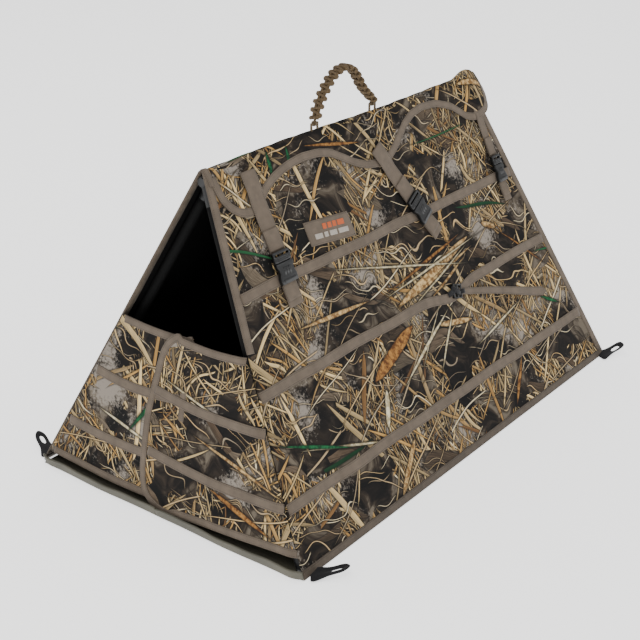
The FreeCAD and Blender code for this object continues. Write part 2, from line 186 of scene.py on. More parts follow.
def reeds(tree, ground, place, angle, cell, half, share, hues, seed, sector=None):
    """Print one layer of stalks on the ground colour. Stretched cells each hold one stalk that
    leans a little and narrows to its ends; a soft dark edge lies under it. Sizes in millimetres."""
    turned = node(tree, "VectorRotate", {"Vector": place, "Angle": angle}, rotation_type="Z_AXIS")
    grid = node(tree, "VectorMath", {0: turned.outputs[0], 1: (1 / cell[0], 1 / cell[1], 0.0),
                                     2: (seed * 3.7, seed * 7.9, 0.0)}, operation="MULTIPLY_ADD")
    cells = node(tree, "TexVoronoi", {"Vector": grid.outputs[0], "Scale": 1.0}, voronoi_dimensions="2D")
    offset = node(tree, "VectorMath", {0: grid.outputs[0], 1: cells.outputs["Position"]},
                  operation="SUBTRACT")
    local = node(tree, "SeparateXYZ", {0: offset.outputs[0]}).outputs
    draw = node(tree, "SeparateColor", {0: cells.outputs["Color"]}).outputs

    slant = work_out(tree, ("MULTIPLY", ("SUBTRACT", draw[0], 0.5), 0.5 * cell[0]))
    across = work_out(tree, ("MULTIPLY_ADD", local[1], cell[1], ("MULTIPLY", local[0], slant)))
    reach = work_out(tree, ("MULTIPLY_ADD", draw[1], 0.25, 0.3))
    along = work_out(tree, ("DIVIDE", local[0], reach))
    taper = work_out(tree, ("SUBTRACT", 1.0, ("POWER", ("ABSOLUTE", along), 3.0)))
    width = work_out(tree, ("MULTIPLY", taper, ("MULTIPLY_ADD", draw[2], half, 0.55 * half)))
    depth = work_out(tree, ("SUBTRACT", width, ("ABSOLUTE", across)))
    kept = work_out(tree, ("LESS_THAN", ("FRACT", ("MULTIPLY", draw[0], 41.7)), share))
    if sector is not None:
        kept = work_out(tree, ("MULTIPLY", kept, sector))
    stalk = node(tree, "MapRange", {0: depth, 1: -0.2, 2: 0.5}, clamp=False).outputs[0]
    stalk = work_out(tree, ("MULTIPLY", kept, stalk))
    under = node(tree, "MapRange", {0: depth, 1: -3.2, 2: 0.4, 4: 0.8}, clamp=False).outputs[0]
    under = work_out(tree, ("MULTIPLY", kept, under))
    ramp = node(tree, "ValToRGB", {0: work_out(tree, ("FRACT", ("MULTIPLY", draw[1], 17.3)))})
    for i, code in enumerate(hues):
        stop = ramp.color_ramp.elements[i] if i < 2 else ramp.color_ramp.elements.new(0.5)
        stop.position = i / (len(hues) - 1)
        stop.color = linear(code)
    grain = node(tree, "TexNoise", {"Vector": grid.outputs[0], "Scale": 3.0, "Detail": 3.0})
    stretch = node(tree, "VectorMath", {0: grid.outputs[0], 1: (2.0, 2.4 * cell[1] / half, 1.0)},
                   operation="MULTIPLY")
    tree.links.new(stretch.outputs[0], grain.inputs["Vector"])
    side = work_out(tree, ("DIVIDE", across, ("MAXIMUM", width, 0.3)))
    light = work_out(tree, ("MULTIPLY_ADD", side, 0.22, ("MULTIPLY_ADD", grain.outputs[0], 2.6, -0.18)))
    tint = node(tree, "HueSaturation", {"Value": light, "Color": ramp.outputs[0]})
    dark = node(tree, "Mix", {0: under, 6: ground, 7: linear("#17120e")}, data_type="RGBA")
    return node(tree, "Mix", {0: stalk, 6: dark.outputs[2], 7: tint.outputs[0]}, data_type="RGBA").outputs[2]


def blades(tree, ground, flat, strokes, hues):
    """Print single reeds of one kind, each (start, stop, half width) in millimetres of cloth. A
    reed's width falls with a power of the distance from its middle, the square for a blade and
    the fourth for a stalk. The depth inside the deepest one gives body, dark rim and shadow."""
    axis = node(tree, "SeparateXYZ", {0: flat}).outputs
    deepest = None

    for start, stop, half in strokes:
        length = math.hypot(stop[0] - start[0], stop[1] - start[1])
        ux, uy = (stop[0] - start[0]) / length, (stop[1] - start[1]) / length
        mid_x, mid_y = (start[0] + stop[0]) / 2, (start[1] + stop[1]) / 2
        along = work_out(tree, ("MULTIPLY_ADD", axis[0], ux / length, -(mid_x * ux + mid_y * uy) / length))
        along = work_out(tree, ("MULTIPLY_ADD", axis[1], uy / length, along))
        across = work_out(tree, ("MULTIPLY_ADD", axis[0], -uy, mid_x * uy - mid_y * ux))
        across = work_out(tree, ("MULTIPLY_ADD", axis[1], ux, across))
        fall = work_out(tree, ("MULTIPLY", along, along))
        if half > 5:
            fall = work_out(tree, ("MULTIPLY", fall, ("MULTIPLY", fall, 4.0)))
        width = work_out(tree, ("MULTIPLY_ADD", fall, -4.0 * half, half))
        depth = work_out(tree, ("SUBTRACT", width, ("ABSOLUTE", across)))
        deepest = depth if deepest is None else work_out(tree, ("MAXIMUM", deepest, depth))
    inside = node(tree, "MapRange", {0: deepest, 1: -0.2, 2: 0.6}).outputs[0]
    under = node(tree, "MapRange", {0: deepest, 1: -4.5, 2: 0.5, 4: 0.85}).outputs[0]
    grain = node(tree, "TexNoise", {"Vector": flat, "Scale": 0.09, "Detail": 4.0, "Roughness": 0.7},
                 noise_dimensions="2D").outputs[0]
    mottle = node(tree, "MapRange", {0: grain, 1: 0.4, 2: 0.62}).outputs[0]
    tint = node(tree, "Mix", {0: mottle, 6: linear(hues[0]), 7: linear(hues[1])}, data_type="RGBA").outputs[2]
    rim = node(tree, "MapRange", {0: deepest, 1: 0.0, 2: 2.5, 3: 0.5}).outputs[0]
    tint = node(tree, "HueSaturation", {"Value": rim, "Color": tint}).outputs[0]
    dark = node(tree, "Mix", {0: under, 6: ground, 7: linear("#120e0b")}, data_type="RGBA").outputs[2]
    return node(tree, "Mix", {0: inside, 6: dark, 7: tint}, data_type="RGBA").outputs[2]


def printed_cloth():
    """The camouflage print: blurred mud and lichen, fine litter in drifts, long straight stalks
    over it, then a few single reeds and seed heads laid out on the near panel."""
    tree, shader, made = finish_named("camouflage_polyester")
    cloth = node(tree, "UVMap", {}, uv_map="cloth")
    flat = node(tree, "VectorMath", {0: cloth, "Scale": 1000.0}, operation="SCALE").outputs[0]

    def drifted(scale, amount):
        """The cloth place, pushed about by slow noise so that straight stalks bend."""
        drift = node(tree, "TexNoise", {"Vector": flat, "Scale": scale, "Detail": 0.0},
                     noise_dimensions="2D")
        parts = node(tree, "SeparateColor", {0: drift.outputs["Color"]}).outputs
        push = node(tree, "CombineXYZ", {0: parts[0], 1: parts[1]}).outputs[0]
        return node(tree, "VectorMath", {0: push, 1: (amount, amount, 0.0), 2: flat},
                    operation="MULTIPLY_ADD").outputs[0]

    straight = drifted(0.005, 42.0)
    bent = drifted(0.009, 52.0)
    curly = drifted(0.019, 44.0)
    mud = node(tree, "TexNoise", {"Vector": bent, "Scale": 0.016, "Detail": 5.0, "Roughness": 0.58,
                                  "Distortion": 0.6}, noise_dimensions="2D")
    base = node(tree, "ValToRGB", {0: mud})
    stops = ((0.36, "#0a0807"), (0.46, "#211b17"), (0.56, "#41382f"), (0.68, "#7a7164"))
    for i, (at, code) in enumerate(stops):
        stop = base.color_ramp.elements[i] if i < 2 else base.color_ramp.elements.new(at)
        stop.position = at
        stop.color = linear(code)
    patch = node(tree, "TexNoise", {"Vector": flat, "Scale": 0.0085, "Detail": 1.0}, noise_dimensions="2D")
    speck = node(tree, "TexNoise", {"Vector": flat, "Scale": 0.14, "Detail": 3.0, "Roughness": 0.75},
                 noise_dimensions="2D")
    lichen = node(tree, "Math", {0: speck, 1: 0.5, 2: patch},
                  operation="MULTIPLY_ADD")
    lichen = node(tree, "MapRange", {0: lichen, 1: 0.83, 2: 0.95, 4: 0.9}, clamp=False)
    print_ = node(tree, "Mix", {0: lichen, 6: base, 7: linear("#9c948a")},
                  data_type="RGBA").outputs[2]
    drift = node(tree, "TexNoise", {"Vector": flat, "Scale": 0.0075, "Detail": 1.5}, noise_dimensions="2D")
    here = node(tree, "Math", {0: drift, 1: 0.505}, operation="GREATER_THAN").outputs[0]
    there = node(tree, "Math", {0: drift, 1: 0.54}, operation="LESS_THAN").outputs[0]
    everywhere = None
    straw = ("#6d5238", "#b8965f", "#8d7a5c", "#d8c193", "#9c6c40", "#f0e2ba", "#77684f")
    pale = ("#8f8270", "#d9cdb0", "#a3937a", "#fbf2d8", "#6e6150", "#c7ae84")
    drab = ("#4c443a", "#6e6456", "#5a4c3e", "#857b6c", "#3e372e")
    layers = (
        (bent, 0.5, (140, 60), 11.0, 0.5, drab, everywhere),
        (curly, 0.9, (60, 11), 1.0, 0.8, pale, here), (bent, 2.6, (70, 10), 1.1, 0.8, straw, here),
        (bent, 1.5, (60, 9), 1.1, 0.8, straw, here), (curly, 0.2, (80, 18), 0.8, 0.5, pale, there),
        (bent, 1.95, (95, 14), 1.5, 0.7, straw, here), (bent, 1.2, (125, 13), 2.1, 0.65, straw, here),
        (straight, 0.72, (170, 17), 2.4, 0.6, straw, here),
        (straight, 2.45, (160, 36), 2.3, 0.4, straw, everywhere),
        (straight, 1.75, (190, 64), 3.8, 0.22, straw, everywhere),
        (straight, 0.95, (260, 66), 4.4, 0.25, straw, everywhere),
        (curly, 0.35, (170, 34), 0.9, 0.5, pale, everywhere),
        (straight, 2.75, (300, 34), 1.2, 0.5, pale, everywhere),
    )
    for seed, (where, angle, cell, half, share, hues, mask) in enumerate(layers):
        print_ = reeds(tree, print_, where, angle, cell, half, share, hues, seed + 1, mask)
    green = ("#12351f", "#1f6b45", "#2b5a3a")
    print_ = reeds(tree, print_, straight, 0.15, (260, 150), 2.2, 0.3, green, 31)
    laid = (
        (("#8a6b45", "#d9bd8c"), (
            ((222, 378), (-64, 319), 9.0), ((223, 357), (-24, 320), 4.0), ((190, 345), (30, 300), 3.0),
            ((280, 389), (325, 367), 6.5), ((28, 250), (137, 226), 6.0), ((-154, 92), (-240, 16), 6.0),
            ((-333, 370), (-131, 356), 4.6), ((2060, 1215), (2150, 1240), 6.0),
            ((5350, 520), (5560, 470), 3.2))),
        (("#6e4a2b", "#b58a52"), (
            ((200, 391), (-68, 353), 3.4), ((-44, 276), (-196, 219), 12.0),
            ((246, 103), (170, 23), 4.6), ((327, 358), (442, 249), 2.6),
            ((1540, 1225), (1700, 1255), 3.6), ((5400, 440), (5540, 400), 5.0))),
        (("#b9ab88", "#ece2c4"), (
            ((250, 372), (-96, 344), 2.4), ((212, 366), (-40, 300), 2.0), ((-207, 440), (190, 329), 2.2),
            ((175, 302), (76, 269), 3.2), ((76, 269), (-126, 182), 3.6), ((92, 266), (-7, 168), 2.8),
            ((60, 290), (-60, 190), 1.6), ((-210, 135), (-175, 197), 6.0), ((-438, 188), (-209, 111), 2.6),
            ((306, 207), (124, 173), 2.6), ((5270, 600), (5420, 560), 2.4), ((6420, 500), (6560, 470), 3.0))),
        (("#17492f", "#2a7a4e"), (
            ((-478, 214), (-312, 142), 3.4), ((383, 190), (439, 157), 4.2), ((1448, 1210), (1439, 1260), 4.4),
            ((1500, 1214), (1488, 1263), 4.4), ((6500, 480), (6560, 560), 4.0))),
    )
    for hues, strokes in laid:
        print_ = blades(tree, print_, flat, strokes, hues)
    # The weave is drawn many times coarser than the thread, which would not show.
    weave = node(tree, "TexWave", {"Vector": flat, "Scale": 0.2}, wave_type="BANDS")
    cross = node(tree, "TexWave", {"Vector": flat, "Scale": 0.2}, wave_type="BANDS", bands_direction="Y")
    both = node(tree, "Math", {0: weave.outputs[1], 1: cross.outputs[1]}, operation="MULTIPLY")
    feed(tree, shader, {
        "Base Color": node(tree, "Gamma", {"Color": print_, "Gamma": 1.22}),
        "Normal": node(tree, "Bump", {"Height": both, "Strength": 0.25, "Distance": 0.0004}),
        "Roughness": 0.82, "Specular IOR Level": 0.25})
    return made


def painted_shade_lining():
    """The inside faces of the cloth, painted near black as painted shade for the inside of the blind: dull,
    with a faint grain.
    """
    tree, shader, made = finish_named("black_painted_shade_lining")
    cloth = node(tree, "UVMap", {}, uv_map="cloth")
    grain = node(tree, "TexNoise", {"Vector": cloth, "Scale": 220.0, "Detail": 3.0})
    ramp = node(tree, "ValToRGB", {0: grain})
    ramp.color_ramp.elements[0].color = linear("#060606")
    ramp.color_ramp.elements[1].color = linear("#101010")
    feed(tree, shader, {
        "Base Color": ramp, "Roughness": 0.8, "Specular IOR Level": 0.15,
        "Normal": node(tree, "Bump", {"Height": grain, "Strength": 0.2, "Distance": 0.0005})})
    return made


camouflage = printed_cloth()
lining = painted_shade_lining()

# ---- Side panels --------------------------------------------------------------------------
# Two leaning sheets of printed cloth on the tube frames, stretched from hem to ridge, with
# the shallow dishes and drag lines of cloth that is held only at its edges.

half_length, half_width, apex, end_lean = 0.535, 0.315, 0.612, 0.125
slope = math.hypot(half_width, apex)
slope_cos, slope_sin = half_width / slope, apex / slope
lean = math.hypot(end_lean, apex)
lean_cos, lean_sin = end_lean / lean, apex / lean


def edge_x(s):
    """Half the length of a side panel at the distance s up its slope."""
    return half_length - end_lean * s / slope


def sag(side, x, s):
    """Height of the stretched cloth over its flat plane: a shallow dish that dies out at the
    frame, with long drag lines and small ripples between the sewn rows."""
    u = np.clip(np.abs(x) / edge_x(s), 0, 1)
    v = np.clip((s - 0.02) / (slope - 0.03), 0, 1)
    hold = (1 - u ** 8) * np.sin(np.pi * v) ** 0.6
    dish = -0.0045 * (1 - u ** 2) * np.sin(np.pi * v)
    drag = 0.0016 * np.sin(8 * x * side - 15 * s + 0.6) + 0.0011 * np.sin(19 * x + 23 * s * side + 1.9)
    ripple = 0.0007 * np.sin(47 * x - 31 * s + 0.4) + 0.0005 * np.sin(29 * x + 67 * s + 2.2)
    tuck = 0.0012 * np.sin(85 * x + 9 * np.sin(14 * s)) * np.exp(-((s - 0.03) / 0.05) ** 2)
    return dish + hold * (drag + ripple) + tuck * hold


def on_side(side):
    """The function that puts (x, distance up the slope, height) onto one side panel."""
    def place(x, s, h):
        """Points of the piece, in metres from the middle of the foot."""
        x, s, h = np.broadcast_arrays(x, s, h + sag(side, x, s))
        y = side * (half_width - s * slope_cos + h * slope_sin)
        return np.stack((x, y, s * slope_sin + h * slope_cos), -1)
    return place


def shell(name, outer, inner, uv, outside, inside):
    """A cloth of two faces: the outer grid of points, the inner one and a rim between them."""
    half = outer.shape[0] * outer.shape[1]
    index = np.arange(half).reshape(outer.shape[:2])
    quads = np.stack((index[:-1, :-1], index[:-1, 1:], index[1:, 1:], index[1:, :-1]), -1).reshape(-1, 4)
    loop = np.concatenate((index[0, :-1], index[:-1, -1], index[-1, :0:-1], index[:0:-1, 0]))
    following = np.roll(loop, -1)
    rim = np.stack((following, loop, loop + half, following + half), -1)
    faces = np.concatenate((quads, rim, quads[:, ::-1] + half))
    points = np.concatenate((outer.reshape(-1, 3), inner.reshape(-1, 3)))
    a, b, c, d = (points[faces[:, i]] - points.mean(axis=0) for i in range(4))
    if (a * np.cross(b, c)).sum() + (a * np.cross(c, d)).sum() < 0:
        faces = faces[:, ::-1]
    made = from_faces(name, points, faces.tolist(), np.concatenate((uv.reshape(-1, 2),) * 2))
    made.data.materials.append(outside)
    made.data.materials.append(inside)
    lined = (np.arange(len(faces)) >= len(quads) + len(rim)).astype(np.int32)
    made.data.polygons.foreach_set("material_index", lined)
    return made


def fit(made, body, slot, *nodes, finish=None):
    """Give a finished piece the body it moves with, the plain nodes it stands for and, unless it has one,
    its material. The slot argument is not used."""
    if finish is not None:
        made.data.materials.append(finish)
    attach(made, body)
    if nodes:
        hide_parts(*nodes)
    return made


sides = (("near", -1), ("far", 1))
for side_name, side in sides:
    place = on_side(side)
    rise, run = np.meshgrid(np.linspace(0.0025, 0.678, 96), np.linspace(-1, 1, 150), indexing="ij")
    along = run * (edge_x(rise) - 0.0006)
    print_place = np.stack((along, rise), -1) + (0.0, 0.0 if side < 0 else 3.0)
    cloth = shell(side_name + "_side_cloth", place(along, rise, 0.0), place(along, rise, -0.0014),
                  print_place, camouflage, lining)
    fit(cloth, side_name + "_side", "camo_cloth", side_name + "_panel")

# ---- Webbing and binding ------------------------------------------------------------------
# Taupe polypropylene tape, woven with fine ribs across and sewn close to each edge. It draws
# flat matt bands over the print, with a thin line of thread just inside both edges.


def woven(name, colour, thread):
    """Ribbed tape with a line of stitches inside each edge. Cloth u runs along the tape and v is
    the distance from its nearer edge; ribs are 1.1 mm and stitches 3.6 mm long."""
    tree, shader, made = finish_named(name)
    cloth = node(tree, "UVMap", {}, uv_map="cloth")
    axis = node(tree, "SeparateXYZ", {0: cloth}).outputs
    fuzz = node(tree, "TexNoise", {"Vector": cloth, "Scale": 45.0, "Detail": 4.0})
    shade = node(tree, "MapRange", {0: fuzz, 1: 0.3, 2: 0.75, 3: 0.78, 4: 1.18})
    body = node(tree, "VectorMath", {0: linear(colour)[:3], "Scale": shade}, operation="SCALE")
    # The tape's colour is painted darker within 1.2 mm of each edge: painted shade along its edges.
    edge = node(tree, "MapRange", {0: axis[1], 1: 0.0, 2: 0.0012, 3: 0.7, 4: 1.0})
    body = node(tree, "VectorMath", {0: body, "Scale": edge}, operation="SCALE")
    ribs = ("SINE", ("MULTIPLY", axis[0], 2 * math.pi / 0.0011))
    stitched = ("LESS_THAN", ("FLOORED_MODULO", axis[0], 0.0036), 0.0026)
    dash = work_out(tree, ("MULTIPLY", ("COMPARE", axis[1], 0.0026, 0.0004), stitched))
    relief = work_out(tree, ("MULTIPLY_ADD", dash, -2.5, ribs))
    tint = node(tree, "Mix", {0: dash, 6: body, 7: linear(thread)}, data_type="RGBA")
    feed(tree, shader, {
        "Base Color": tint.outputs[2], "Roughness": 0.78, "Specular IOR Level": 0.3, "Sheen Weight": 0.08,
        "Normal": node(tree, "Bump", {"Height": relief, "Strength": 0.35, "Distance": 0.0002})})
    return made


taupe = woven("taupe_polypropylene", "#665a4d", "#3f372e")
brown_tape = woven("brown_hem_tape", "#51473c", "#352d25")
black_webbing = woven("black_polypropylene", "#17171a", "#0c0c0d")


def tape(path, width, low, high, place):
    """A flat tape with softened edges laid along a path of (x, s): rows follow the path, and
    columns go round the section. width may be one value for each point of the path."""
    path = np.asarray(path, float)
    ahead = np.gradient(path, axis=0)
    ahead /= np.linalg.norm(ahead, axis=1, keepdims=True)
    left = np.stack((-ahead[:, 1], ahead[:, 0]), -1)
    across = np.array([0.5, 0.5, 0.47, 0.42, 0.2, 0.0, -0.2, -0.42, -0.47, -0.5, -0.5, -0.45, 0.0, 0.45])
    height = np.array([0.25, 0.7, 0.95, 1.0, 1.0, 1.0, 1.0, 1.0, 0.95, 0.7, 0.25, 0.0, 0.0, 0.0])
    width = np.broadcast_to(width, len(path))[:, None]
    x = path[:, :1] + left[:, :1] * across * width
    s = path[:, 1:] + left[:, 1:] * across * width
    points = place(x, s, np.broadcast_to(low + (high - low) * height, x.shape))
    along = np.concatenate(([0.0], np.cumsum(np.linalg.norm(np.diff(path, axis=0), axis=1))))
    uv = np.stack(np.broadcast_arrays(along[:, None], width * (0.5 - np.abs(across))), -1)
    return points, uv, True, True


# ---- Stubble rows -------------------------------------------------------------------------
# Three flat rows of webbing on each side, tacked down every hand's width, so that stalks can be
# tucked under. The middle row dips a little behind the adjusting tail.

for side_name, side in sides:
    rows = []
    base = on_side(side)

    def on_rows(x, s, h):
        """Points on the panel, standing off it between the tacks."""
        return base(x, s, h + 0.0010 * np.abs(np.sin(np.pi * (x + 0.5) / 0.115)))

    for s in (0.115, 0.300, 0.461):
        reach = edge_x(s) - 0.015
        x = np.linspace(-reach - (0.0115 if side < 0 and s < 0.37 else 0.0), reach, 130)
        dip = -0.016 * np.exp(-((x - 0.105) / 0.06) ** 2) * (s == 0.300) * (side < 0)
        wave = 0.0015 * np.sin(np.pi * (x + 0.5) / 0.115) * np.sin(7 * x + 30 * s)
        path = np.stack((x, s + dip + wave), -1)
        rows.append(tape(path, 0.020, 0.0001, 0.0013, on_rows))
    straps = surface(side_name + "_stubble_rows", *rows)
    fit(straps, side_name + "_side", "taupe_webbing", side_name + "_stubble_straps", finish=taupe)

# ---- Bound edges and hems -----------------------------------------------------------------
# Brown tape folded over the foot of each panel and taupe tape over its leaning ends, with the
# sewn pockets that hold the tubes behind them.


def pipe(path, radius, sides_round=16):
    """A round rod along a path: rings stand square to the path and share one seam line."""
    path = np.asarray(path, float)
    ahead = np.gradient(path, axis=0)
    ahead /= np.linalg.norm(ahead, axis=1, keepdims=True)
    helper = np.array([0.0, 0.0, 1.0]) if abs(ahead[0, 2]) < 0.9 else np.array([1.0, 0.0, 0.0])
    first = np.cross(ahead, helper)
    first /= np.linalg.norm(first, axis=1, keepdims=True)
    second = np.cross(ahead, first)
    angle = np.linspace(0, 2 * np.pi, sides_round, endpoint=False)[None, :, None]
    radius = np.broadcast_to(radius, len(path))[:, None, None]
    points = path[:, None] + radius * (np.cos(angle) * first[:, None] + np.sin(angle) * second[:, None])
    along = np.concatenate(([0.0], np.cumsum(np.linalg.norm(np.diff(path, axis=0), axis=1))))
    uv = np.stack(np.broadcast_arrays(along[:, None], radius[..., 0] * angle[..., 0]), -1)
    return points, uv, True, True


for side_name, side in sides:
    place = on_side(side)
    inset = 0.014 if side < 0 else 0.038
    foot = np.linspace(-0.5325, 0.5325, 140)
    hem = surface(side_name + "_hem_tape",
                  tape(np.stack((foot, np.full_like(foot, 0.0087)), -1), 0.0150, -0.0026, 0.0012, place))
    fit(hem, side_name + "_side", "taupe_webbing", side_name + "_base_sleeve", finish=brown_tape)
    run = np.linspace(-0.486, 0.486, 60)
    centre_s, centre_h = 0.01967, -0.0122
    line_y = side * (half_width - centre_s * slope_cos + centre_h * slope_sin)
    line_z = centre_s * slope_sin + centre_h * slope_cos
    base_line = np.stack((run, np.full_like(run, line_y), np.full_like(run, line_z)), -1)
    pocket = surface(side_name + "_base_pocket",
                     pipe(base_line, 0.0117 + 0.0003 * np.sin(run * 70) * np.cos(run * 23)))
    fit(pocket, side_name + "_side", "camo_cloth", side_name + "_base_sleeve", finish=lining)
    for end_name, end in (("front", -1), ("rear", 1)):
        s = np.linspace(0.372 if (side, end) == (-1, -1) else 0.016, 0.678, 90)
        path = np.stack((end * (edge_x(s) - 0.0080), s), -1)
        edge = surface(side_name + "_" + end_name + "_bound_edge",
                       tape(path, 0.0165, -0.0024, 0.0014, place))
        node_name = side_name + "_" + end_name + "_edge_sleeve"
        fit(edge, side_name + "_side", "taupe_webbing", node_name, finish=taupe)
        corner = np.array((end * (edge_x(0.01967) - inset), side * (half_width - 0.01967 * slope_cos
                          - 0.012 * slope_sin), 0.01967 * slope_sin - 0.012 * slope_cos))
        top = np.array((end * (edge_x(0.664994) - inset), 0.0, 0.585779))
        share = np.linspace(0.048, 0.932, 50)[:, None]
        upright = surface(side_name + "_" + end_name + "_pole_pocket",
                          pipe(corner + (top - corner) * share, 0.0096))
        fit(upright, side_name + "_side", "camo_cloth", node_name, finish=lining)

# ---- Ridge cap ----------------------------------------------------------------------------
# A weather flap laid over the ridge from side to side, scalloped round the buckle straps and
# bound with taupe tape. Its rear end is a soft hood over the top of the rear wall.


def smooth_line(points, count):
    """A rounded line through the given points, evenly spaced along its length."""
    points = np.asarray(points, float)
    spot = np.concatenate(([0.0], np.cumsum(np.linalg.norm(np.diff(points, axis=0), axis=1))))
    fine = np.linspace(0, spot[-1], count * 8)
    dense = np.stack([np.interp(fine, spot, points[:, k]) for k in range(points.shape[1])], -1)
    size = max(3, int(len(fine) * 0.020 / spot[-1]) | 1)
    window = np.hanning(size + 2)[1:-1]
    window /= window.sum()
    padded = np.concatenate((2 * dense[0] - dense[1:size // 2 + 1][::-1], dense,
                             2 * dense[-1] - dense[-size // 2:-1][::-1]))
    soft = np.stack([np.convolve(padded[:, k], window, "valid") for k in range(points.shape[1])], -1)
    spot = np.concatenate(([0.0], np.cumsum(np.linalg.norm(np.diff(soft, axis=0), axis=1))))
    even = np.linspace(0, spot[-1], count)
    return np.stack([np.interp(even, spot, soft[:, k]) for k in range(points.shape[1])], -1)


cap_edge = smooth_line(np.array((
    (-404, 668), (-403, 650), (-398, 624), (-386, 603), (-369, 589), (-349, 583), (-325, 583),
    (-305, 597), (-282, 613), (-257, 624), (-231, 632), (-202, 637), (-169, 640), (-127, 637),
    (-96, 630), (-66, 614), (-38, 597), (-6, 583), (33, 577), (68, 580), (94, 594), (117, 609),
    (146, 630), (181, 645), (217, 651), (269, 647), (311, 631), (332, 615), (352, 599), (376, 590),
    (399, 590), (426, 598), (440, 612), (447, 634), (446, 660), (444, 668))) / 1000, 220)


def on_cap(side):
    """The function that puts (x, s, height) onto one side of the cap. The cloth stands a little
    off the panel, rolls over the ridge and drops at the rear in a hood."""
    base = on_side(side)

    def place(x, s, h):
        """Points of the piece, in metres from the middle of the foot."""
        puff = 0.0022 * np.exp(-((s - 0.645) / 0.030) ** 2) * (0.6 + 0.4 * np.sin(21 * x + side))
        lift = 0.0018 + puff + 0.0006 * np.sin(53 * x + 90 * s)
        points = base(x, s, h + lift)
        ratio = slope_sin / slope_cos
        y = points[..., 1]
        points[..., 2] -= ratio * (np.sqrt(y ** 2 + 0.0042 ** 2) - np.abs(y))
        points[..., 2] -= 0.0016 * (1 + np.sin(11 * x + 0.5)) * np.exp(-(y / 0.03) ** 2)
        rise = np.clip((x - 0.345) / 0.060, 0, 1)
        rise = rise * rise * (3 - 2 * rise)
        hood = np.clip((x - 0.412) / 0.034, 0, 1)
        crown = np.exp(-(y / 0.045) ** 2)
        points[..., 2] += (0.011 * rise - 0.019 * hood ** 2) * crown
        points[..., 1] += side * 0.006 * rise * (1 - 0.5 * hood) * np.exp(-((np.abs(y) - 0.03) / 0.025) ** 2)
        return points
    return place


apex_s = (half_width + 0.0018 * slope_sin) / slope_cos
halves, half_uv, half_under = [], [], []
for side_name, side in sides:
    place = on_cap(side)
    share = np.linspace(0, 1, 26)[:, None]
    top = np.linspace(-0.405, 0.442, 220)[None, :]
    x = cap_edge[None, :, 0] * (1 - share) + top * share
    lip = apex_s + (0.0 * top)
    s = cap_edge[None, :, 1] * (1 - share) + lip * share
    halves.append(place(x, s, 0.0004))
    half_under.append(place(x, s, -0.0008))
    half_uv.append(np.stack((x + 1.7, side * (s - 0.69) + 1.2), -1))
points, under, uv = (np.concatenate((pair[0], pair[1][-2::-1])) for pair in (halves, half_under, half_uv))
cap = shell("ridge_cap", points, under, uv, camouflage, lining)
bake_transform(cap)
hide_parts("near_ridge_cap", "far_ridge_cap")
for side_name, side in sides:
    rim = cap_edge.copy()
    ahead = np.gradient(rim, axis=0)
    ahead /= np.linalg.norm(ahead, axis=1, keepdims=True)
    rim += np.stack((-ahead[:, 1], ahead[:, 0]), -1) * 0.0066
    bound = surface(side_name + "_cap_binding", tape(rim, 0.0160, -0.0014, 0.0016, on_cap(side)))
    fit(bound, side_name + "_side", "taupe_webbing", finish=taupe)
for name, x in (("front", -0.4035), ("rear", 0.4405)):
    rows = []
    for side_name, side in sides:
        s = np.linspace(0.655, apex_s - 0.0005, 24)
        points, uv, wrap, ends = tape(np.stack((np.full_like(s, x), s), -1), 0.0130, -0.0014, 0.0016,
                                      on_cap(side))
        rows.append((points if side < 0 else points[:, ::-1], uv if side < 0 else uv[:, ::-1]))
    over = np.concatenate((rows[0][0], rows[1][0][::-1]))
    over_uv = np.concatenate((rows[0][1], rows[1][1][::-1] * (-1, 1) + (0.07, 0)))
    lip = surface("cap_" + name + "_lip", (over, over_uv, True, True))
    lip.data.materials.append(taupe)
    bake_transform(lip)

# ---- Name patch ---------------------------------------------------------------------------
# A plain woven patch with a folded edge and rows of plain bars, orange over pale grey.

place = on_side(-1)
corners = np.array(((-0.227, 0.4905), (-0.1035, 0.4765), (-0.1040, 0.5245), (-0.2270, 0.5360)))
u, v = np.meshgrid(np.linspace(0, 1, 40), np.linspace(0, 1, 18))


def patch_spot(u, v):
    """Panel x and s at the share u across the patch and v up it."""
    low = corners[0] * (1 - u)[..., None] + corners[1] * u[..., None]
    high = corners[3] * (1 - u)[..., None] + corners[2] * u[..., None]
    return low * (1 - v)[..., None] + high * v[..., None]


spot = patch_spot(u, v)
away = np.minimum(np.minimum(u, 1 - u) * 0.124, np.minimum(v, 1 - v) * 0.047)
pillow = 0.0009 + 0.0007 * np.clip(away / 0.004, 0, 1) - 0.0003 * np.exp(-((away - 0.0035) / 0.0008) ** 2)
outer = place(spot[..., 0], spot[..., 1], pillow)
inner = place(spot[..., 0], spot[..., 1], 0.0001)
patch = shell("patch", outer, inner, np.stack((u * 0.124, away), -1), taupe, taupe)
fit(patch, "near_side", "patch_cloth", "name_patch")


def dyed(name, colour):
    """Plain dyed thread or cloth with a fine mottled grain."""
    tree, shader, made = finish_named(name)
    coords = node(tree, "TexCoord", {}).outputs["Object"]
    grain = node(tree, "TexNoise", {"Vector": coords, "Scale": 900.0, "Detail": 2.0})
    shade = node(tree, "MapRange", {0: grain, 1: 0.3, 2: 0.7, 3: 0.75, 4: 1.15})
    feed(tree, shader, {
        "Base Color": node(tree, "VectorMath", {0: linear(colour)[:3], "Scale": shade}, operation="SCALE"),
        "Normal": node(tree, "Bump", {"Height": grain, "Strength": 0.3, "Distance": 0.0003}),
        "Roughness": 0.7})
    return made


